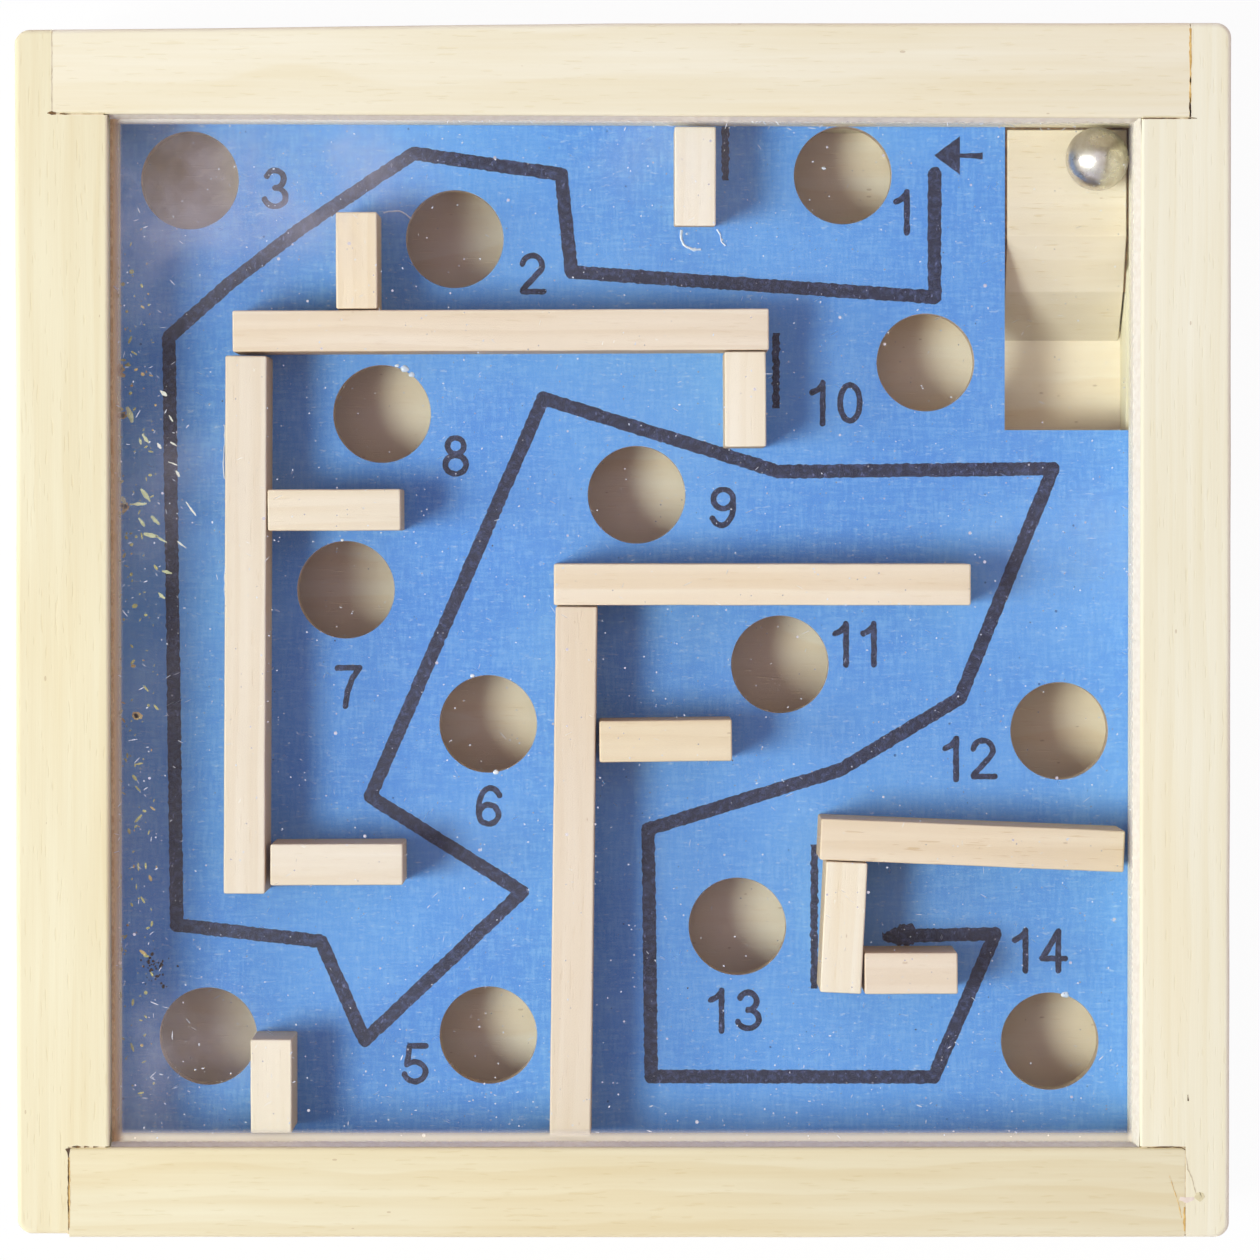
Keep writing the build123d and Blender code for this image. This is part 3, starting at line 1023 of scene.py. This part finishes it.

# painted light on the rails' lips: pale strips along the foot of each lip, raised up the lip's face, and
# a tan strip by the left rail for its shaded inner face
lipPaintedLightTones = {
    "lipPaintedLightPale": makeCrumb("lipPaintedLightPaleTone", (253, 247, 229), (246, 238, 218)),
    "lipPaintedLightTan": makeCrumb("lipPaintedLightTanTone", (250, 222, 174), (226, 190, 140)),
}
for name, lines in coverLook["lipPaintedLight"].items():
    bm = bmesh.new()
    for seed, (line, width, climb) in enumerate(lines):
        before = len(bm.verts)
        level = coverHigh.z + coverLook["lipPaintedLightGap"] + seed * inkLook["lift"]
        drawStroke(bm, scaled(line), width * mm, level, 0.12 * mm, 0.3 * mm, seed)
        start, end = (Vector(point) for point in scaled(line))
        middleSide = (end - start).cross(-start)
        # painted light: the outer side of each strip climbs the lip's face
        for vert in bm.verts[before:]:
            if (end - start).cross(vert.co.xy - start) * middleSide < 0:
                vert.co.z += climb * mm
    thicken(bm, 0.03 * mm)
    letLightThrough(keepPiece(bm, name, [lipPaintedLightTones[name]]))


fleckThickness = 0.012 * mm


# Loose specks: low flat cones, squeezed and turned
def scatter(bm, count, spots, radius, level, stretchBy=(1, 1.6)):
    for _ in range(count):
        x, y = spots()
        size = radius[0] + (radius[1] - radius[0]) * chance.random() ** 2.2
        long = stretchBy[0] + (stretchBy[1] - stretchBy[0]) * chance.random() ** 1.5
        turn = Matrix.Rotation(chance.uniform(0, math.pi), 4, "Z")
        squeeze = Matrix.Diagonal((long, 1 / long ** 0.3, 1, 1))
        place = Matrix.Translation((x, y, level)) @ turn @ squeeze
        bmesh.ops.create_cone(bm, cap_ends=True, segments=6, radius1=size, radius2=size * 0.7,
                              depth=fleckThickness, matrix=place)


def anywhere(half=50.3 * mm):
    return lambda: (chance.uniform(-half, half), chance.uniform(-half, half))


def around(centreX, centreY, spreadX, spreadY):
    return lambda: (chance.gauss(centreX, spreadX) * mm, chance.gauss(centreY, spreadY) * mm)


def within(lowX, highX, lowY, highY):
    return lambda: (chance.uniform(lowX, highX) * mm, chance.uniform(lowY, highY) * mm)


crumbLook = {
    "white": makeCrumb("dustWhite", (236, 240, 246), (206, 214, 228)),
    "olive": makeCrumb("fleckOlive", (186, 182, 116), (146, 146, 92)),
    "tan": makeCrumb("fleckTan", (192, 170, 112), (154, 126, 78)),
    "dirt": makeCrumb("dirtBrown", (74, 56, 42), (44, 34, 30)),
    "glue": makeCrumb("glueDry", (232, 240, 248), (206, 224, 246), 0.25),
}
aboveCover = coverHigh.z + 0.07 * mm
underCover = coverLow.z - 0.02 * mm
onBoard = boardTop + 0.026 * mm

bm = bmesh.new()
scatter(bm, 1500, anywhere(), (0.025 * mm, 0.09 * mm), aboveCover)
scatter(bm, 130, anywhere(), (0.03 * mm, 0.055 * mm), aboveCover, (3, 12))
scatter(bm, 90, within(-50.4, -43, -50, 42), (0.04 * mm, 0.08 * mm), aboveCover, (2.5, 7))
scatter(bm, 160, within(-50, 50, -50, -40), (0.03 * mm, 0.09 * mm), aboveCover, (1, 4))
scatter(bm, 40, within(-20, 50, 49.6, 50.6), (0.05 * mm, 0.1 * mm), aboveCover, (2, 6))
keepPiece(bm, "coverSpecks", [crumbLook["white"]])

bm = bmesh.new()
scatter(bm, 150, within(-50.6, -46.4, -48, 40), (0.05 * mm, 0.2 * mm), underCover, (1, 3.2))
scatter(bm, 60, within(-50.6, -48.5, -40, 38), (0.08 * mm, 0.26 * mm), underCover, (1, 2.2))
keepPiece(bm, "laneFlecksOlive", [crumbLook["olive"]])

bm = bmesh.new()
scatter(bm, 46, within(-50.6, -46.2, -46, 40), (0.06 * mm, 0.24 * mm), underCover, (1, 2.6))
for x, y in ((-49.9, 25.8), (-49.8, 21.6), (-49.6, 12.4), (-48.4, -8.6)):
    scatter(bm, 3, around(x, y, 0.15, 0.2), (0.28 * mm, 0.42 * mm), underCover, (1, 1.7))
keepPiece(bm, "laneFlecksTan", [crumbLook["tan"]])

bm = bmesh.new()
scatter(bm, 46, around(-47.5, -34.2, 0.7, 0.9), (0.05 * mm, 0.2 * mm), onBoard)
scatter(bm, 40, anywhere(49 * mm), (0.04 * mm, 0.09 * mm), onBoard)
keepPiece(bm, "boardDirt", [crumbLook["dirt"]])

# the larger flecks under the cover by the left rail: start, end and width in millimetres
longFlecks = {
    "longFlecksGreen": [
        ((-49.25, 22.25), (-48.75, 20.7), 0.66), ((-47.8, 19.55), (-47.1, 18.6), 0.36),
        ((-48.05, 19.2), (-47.9, 18.5), 0.28), ((-47.9, 14.1), (-47.0, 12.85), 0.52),
        ((-49.05, 12.55), (-47.35, 12.65), 0.36), ((-49.8, 13.35), (-49.5, 12.6), 0.46),
        ((-46.9, 11.4), (-46.1, 10.55), 0.4), ((-48.15, 11.2), (-47.55, 10.4), 0.32),
        ((-47.65, 9.65), (-46.2, 9.35), 0.46), ((-46.5, 9.45), (-45.35, 8.75), 0.26),
        ((-45.85, 5.95), (-44.85, 5.7), 0.36), ((-46.2, 3.8), (-45.55, 3.2), 0.3),
    ],
    "longFlecksPale": [
        ((-46.0, 23.85), (-45.35, 23.3), 0.38), ((-46.3, 18.65), (-45.9, 18.1), 0.32),
        ((-45.15, 21.4), (-44.75, 20.8), 0.22), ((-45.0, 18.75), (-44.35, 18.35), 0.2),
        ((-45.2, 16.8), (-44.3, 16.45), 0.22), ((-44.45, 15.9), (-44.1, 15.3), 0.3),
        ((-44.35, 8.9), (-43.4, 8.2), 0.2), ((-43.45, 12.8), (-42.45, 11.45), 0.2),
    ],
}
fleckTones = {
    "longFlecksGreen": makeCrumb("fleckGreen", (206, 212, 166), (172, 180, 134)),
    "longFlecksPale": makeCrumb("fleckPale", (240, 242, 226), (216, 220, 204)),
}
for name, flecks in longFlecks.items():
    bm = bmesh.new()
    for seed, (start, end, width) in enumerate(flecks):
        line = scaled([start, (Vector(start) + Vector(end)) / 2, end])
        widths = [0.35 * width * mm, width * mm, 0.35 * width * mm]
        drawStroke(bm, line, widths, underCover, 0.08 * mm, inkLook["fineStep"], seed)
    thicken(bm, fleckThickness)
    keepPiece(bm, name, [fleckTones[name]])
print("cover and dust done")


# Glue: a clear puddle below the start stop, dry dabs at hole rims, threads on the board
glueLook = {
    "puddle": [(5.85, 40.3), (5.75, 39.5), (6.1, 38.7), (6.9, 38.35), (7.8, 38.3)],
    "puddleRadius": 0.12 * mm,
    "threadRadius": 0.08 * mm,
    "wobble": 0.09 * mm,
    "wobbleScale": 2200,
    "dabs": [
        # place and size
        (-22.1, 26.3, 0.45), (-21.4, 25.7, 0.3), (-22.9, 26.6, 0.22), (44.7, -37.0, 0.4),
        (20.2, 46.5, 0.2), (-15.3, -4.7, 0.25), (-12.9, -14.5, 0.3), (-28.4, 9.0, 0.2),
        (24.9, -36.7, 0.35), (7.2, 38.33, 0.26), (6.35, 39.9, 0.14), (9.95, 39.3, 0.15),
    ],
    "threads": [
        [(9.45, 40.3), (9.9, 39.6), (9.8, 39.1), (10.3, 38.7)],
        [(-24.2, 42.0), (-23.1, 42.3), (-22.0, 42.0), (-21.4, 41.4)],
        [(-40.3, 20.6), (-40.2, 19.0), (-40.5, 17.1), (-40.3, 15.2)],
        [(-40.2, 6.1), (-40.4, 4.4), (-40.2, 3.0)],
    ],
}


def addThread(bm, line, radius, level):
    curve = bpy.data.curves.new("threadLine", "CURVE")
    curve.dimensions = "3D"
    curve.bevel_depth = radius
    curve.bevel_resolution = 2
    curve.use_fill_caps = True
    curve.resolution_u = 6
    spline = curve.splines.new("NURBS")
    spline.points.add(len(line) - 1)
    for point, (x, y) in zip(spline.points, line):
        point.co = (x * mm, y * mm, level, 1)
    spline.order_u = 3
    spline.use_endpoint_u = True
    holder = bpy.data.objects.new("threadHolder", curve)
    bm.from_mesh(bpy.data.meshes.new_from_object(holder))
    bpy.data.objects.remove(holder)


bm = bmesh.new()
addThread(bm, glueLook["puddle"], glueLook["puddleRadius"], boardTop + 0.02 * mm)
for thread in glueLook["threads"]:
    addThread(bm, thread, glueLook["threadRadius"], boardTop + 0.04 * mm)
for x, y, size in glueLook["dabs"]:
    place = Matrix.Translation((x * mm, y * mm, boardTop)) @ Matrix.Diagonal((1, 0.8, 0.35, 1))
    bmesh.ops.create_icosphere(bm, subdivisions=3, radius=size * mm, matrix=place)
for vert in bm.verts:
    vert.co.xy += noise.noise_vector(vert.co * glueLook["wobbleScale"]).xy * glueLook["wobble"]
keepPiece(bm, "glueMarks", [crumbLook["glue"]])


# Joint lines in the frame: dirt and glue in the gaps at the corners, as widths along a line
jointLook = {
    "level": 25.955 * mm,
    "thickness": 0.03 * mm,
    "lines": {
        "jointDirt": [
            ([(-56.75, 51.05), (-56.3, 51.1), (-55.9, 51.0)], [0.08, 0.36, 0.06]),
            ([(-55.5, 51.0), (-55.1, 51.0), (-54.4, 50.97)], [0.1, 0.12, 0.04]),
            ([(55.85, 54.8), (55.86, 54.3), (55.85, 53.8)], [0.05, 0.14, 0.05]),
            ([(55.84, 52.6), (55.82, 51.9), (55.84, 51.3), (55.85, 50.7)], [0.06, 0.16, 0.14, 0.12]),
            ([(55.6, 50.55), (56.0, 50.6), (56.5, 50.55)], [0.08, 0.14, 0.04]),
            ([(51.1, 50.56), (52.6, 50.56), (54.8, 50.55)], [0.08, 0.13, 0.05]),
            ([(-54.95, -51.1), (-54.85, -51.5), (-54.85, -52.0)], [0.42, 0.26, 0.08]),
            ([(-54.87, -52.2), (-54.86, -54.2), (-54.88, -56.2), (-54.86, -59.2)],
             [0.08, 0.12, 0.07, 0.05]),
            ([(-54.5, -50.97), (-54.0, -50.95), (-53.6, -50.96)], [0.08, 0.2, 0.05]),
            ([(-53.3, -50.96), (-52.8, -50.95)], [0.16, 0.05]),
            ([(-52.4, -50.96), (-51.9, -50.95)], [0.17, 0.06]),
            ([(51.8, -51.03), (53.4, -50.97), (55.2, -51.0), (55.6, -51.25)], [0.06, 0.14, 0.1, 0.05]),
            ([(55.8, -45.8), (55.82, -46.4)], [0.04, 0.14]),
        ],
        "jointGlue": [
            ([(55.86, 59.4), (55.86, 55.0), (55.84, 50.8)], [0.2, 0.16, 0.13]),
            ([(-54.8, -52.0), (-54.78, -56.0), (-54.8, -59.0)], [0.12, 0.14, 0.08]),
            ([(55.48, -56.9), (55.48, -58.3), (55.5, -59.3)], [0.08, 0.2, 0.12]),
            ([(54.0, -53.8), (54.4, -55.2), (54.9, -56.6), (55.2, -58.0)], [0.03, 0.08, 0.06, 0.03]),
        ],
        "jointCrack": [
            ([(-56.3, 59.3), (-56.3, 55.0), (-56.3, 51.3)], [0.05, 0.09, 0.07]),
            ([(55.6, -51.9), (55.8, -53.1), (56.3, -54.3), (56.6, -55.6)], [0.07, 0.12, 0.09, 0.05]),
        ],
        "jointFiller": [
            ([(55.0, -56.05), (55.7, -56.25), (56.4, -56.0)], [0.36, 0.6, 0.3]),
        ],
        "jointStain": [
            ([(56.55, -55.7), (57.0, -55.9), (57.4, -55.7)], [0.5, 0.9, 0.4]),
        ],
    },
    "tones": {
        "jointDirt": ((128, 96, 52), (78, 54, 32)),
        "jointGlue": ((234, 200, 126), (206, 166, 88)),
        "jointCrack": ((224, 214, 186), (204, 192, 160)),
        "jointFiller": ((244, 232, 218), (236, 222, 204)),
        "jointStain": ((232, 224, 184), (222, 212, 168)),
    },
}
for name, lines in jointLook["lines"].items():
    bm = bmesh.new()
    for seed, (line, widths) in enumerate(lines):
        widths = [width * mm for width in widths]
        level = jointLook["level"]
        drawStroke(bm, scaled(line), widths, level, 0.07 * mm, inkLook["fineStep"], seed)
    thicken(bm, jointLook["thickness"])
    keepPiece(bm, name, [makeCrumb(name + "Tone", *jointLook["tones"][name])])

# glue squeezed into the gaps between the rails, just below their top
gapLook = {
    "foot": 1.5 * mm,
    "top": 25.925 * mm,
    "spots": [
        ((-56.4, 51), (-56.2, 59.1)), ((55.75, 50.5), (55.95, 59.6)),
        ((-54.95, -59.6), (-54.75, -51)), ((55.45, -59.6), (55.65, -51)),
        ((-56.3, 50.85), (-51.2, 51.05)), ((51.2, 50.42), (55.9, 50.66)),
        ((-54.9, -51.05), (-51.2, -50.85)), ((51.2, -51.05), (55.6, -50.85)),
    ],
}
bm = bmesh.new()
for (lowX, lowY), (highX, highY) in gapLook["spots"]:
    addBox(bm, (lowX * mm, lowY * mm, gapLook["foot"]), (highX * mm, highY * mm, gapLook["top"]))
gapGlue = makeCrumb("gapGlue", (234, 220, 184), (214, 196, 154))
keepPiece(bm, "cornerGapGlue", [gapGlue])
print("glue and joints done")


# Floor: white to the camera, with a little of its own shading so the shadow stays
stageLook = {
    "floorSize": 3.0,
    "whiteShare": 0.95,
    "coverShare": 0.6,  # how white the sky is in what shines back up through the cover
    "fill": 0.22,
    "overhead": 0.35,  # more from the middle of the sky
    "lowDown": 0.6,  # and from near the floor, all round
    "fillTone": (0.98, 0.79, 1.04, 1),
    "lamps": [
        # name, power, size, direction it comes from, degrees above the floor
        ("keyLight", 4.8, 0.3, (-0.95, -0.32), 57.5),
        ("sideLight", 1.95, 0.34, (-0.98, -0.12), 33),
        ("bounceLight", 0.45, 0.6, (0.96, 0.2), 30),
    ],
    "lampTone": (0.955, 1.02, 0.94),
    "lampDistance": 0.9,
    "lampTarget": (0, 0, 15 * mm),
}


def seenDirectly(tree):
    path = put(tree, "LightPath").outputs
    throughCover = times(tree, path["Is Transmission Ray"], stageLook["coverShare"])
    return maths(tree, "MAXIMUM", path["Is Camera Ray"], throughCover)


floorMaterial, tree, shader, coords = newMaterial("paleFloor")
grit = reach(tree, cloud(tree, coords, (300, 300, 300), 3, 0.6), 0.3, 0.7, 0.88, 0.93)
grey = put(tree, "CombineColor", {0: grit, 1: grit, 2: grit}).outputs[0]
tree.links.new(grey, shader.inputs["Base Color"])
shader.inputs["Roughness"].default_value = 0.9
glow = put(tree, "Emission", {"Color": (1, 1, 1, 1), "Strength": 1}).outputs[0]
share = times(tree, seenDirectly(tree), stageLook["whiteShare"])
mixed = put(tree, "MixShader", {0: share, 1: shader.outputs[0], 2: glow}).outputs[0]
tree.links.new(mixed, tree.nodes["Material Output"].inputs["Surface"])
bm = bmesh.new()
bmesh.ops.create_grid(bm, x_segments=1, y_segments=1, size=stageLook["floorSize"] / 2)
floorMesh = bpy.data.meshes.new("floor")
bm.to_mesh(floorMesh)
bm.free()
floorMesh.materials.append(floorMaterial)
floor = bpy.data.objects.new("floor", floorMesh)
bpy.context.scene.collection.objects.link(floor)

world = bpy.data.worlds.new("studio")
world.use_nodes = True
bpy.context.scene.world = world
tree = world.node_tree
tree.nodes.clear()
upward = put(tree, "SeparateXYZ", {0: put(tree, "TexCoord").outputs["Generated"]}).outputs[2]
fullFill = stageLook["fill"] + stageLook["overhead"]
strength = reach(tree, upward, 0.8, 0.95, stageLook["fill"], fullFill)
strength = plus(tree, strength, reach(tree, upward, 0.3, 0.5, stageLook["lowDown"], 0))
fill = put(tree, "Background", {"Color": stageLook["fillTone"], "Strength": strength}).outputs[0]
white = put(tree, "Background", {"Color": (1, 1, 1, 1), "Strength": 1}).outputs[0]
mixed = put(tree, "MixShader", {0: seenDirectly(tree), 1: fill, 2: white}).outputs[0]
put(tree, "OutputWorld", {"Surface": mixed})


for name, power, size, comesFrom, degrees in stageLook["lamps"]:
    light = bpy.data.lights.new(name, "AREA")
    light.shape = "DISK"
    light.size = size
    light.energy = power
    light.color = stageLook["lampTone"]
    lamp = bpy.data.objects.new(name, light)
    bpy.context.scene.collection.objects.link(lamp)
    rise = math.radians(degrees)
    sideways = Vector((*comesFrom, 0)).normalized() * math.cos(rise)
    place = (sideways + Vector((0, 0, math.sin(rise)))) * stageLook["lampDistance"]
    lamp.location = place
    aim = Vector(stageLook["lampTarget"]) - place
    lamp.rotation_euler = aim.to_track_quat("-Z", "Y").to_euler()

# Camera, straight above and a little towards the top rail, as in the photograph
cameraLook = {
    "lens": 156.4,
    "place": (0.66 * mm, 10.15 * mm, 566 * mm),
    "target": (0.66 * mm, 0.15 * mm, 26 * mm),
}
cameraData = bpy.data.cameras.new("camera")
cameraData.sensor_width = 36
cameraData.lens = cameraLook["lens"]
camera = bpy.data.objects.new("camera", cameraData)
bpy.context.scene.collection.objects.link(camera)
camera.location = cameraLook["place"]
reachDown = Vector(cameraLook["target"]) - camera.location
camera.rotation_euler = (math.atan2(reachDown.y, -reachDown.z), 0, 0)
bpy.context.scene.camera = camera
bpy.context.scene.view_settings.view_transform = "Standard"
print("stage, light and camera done")
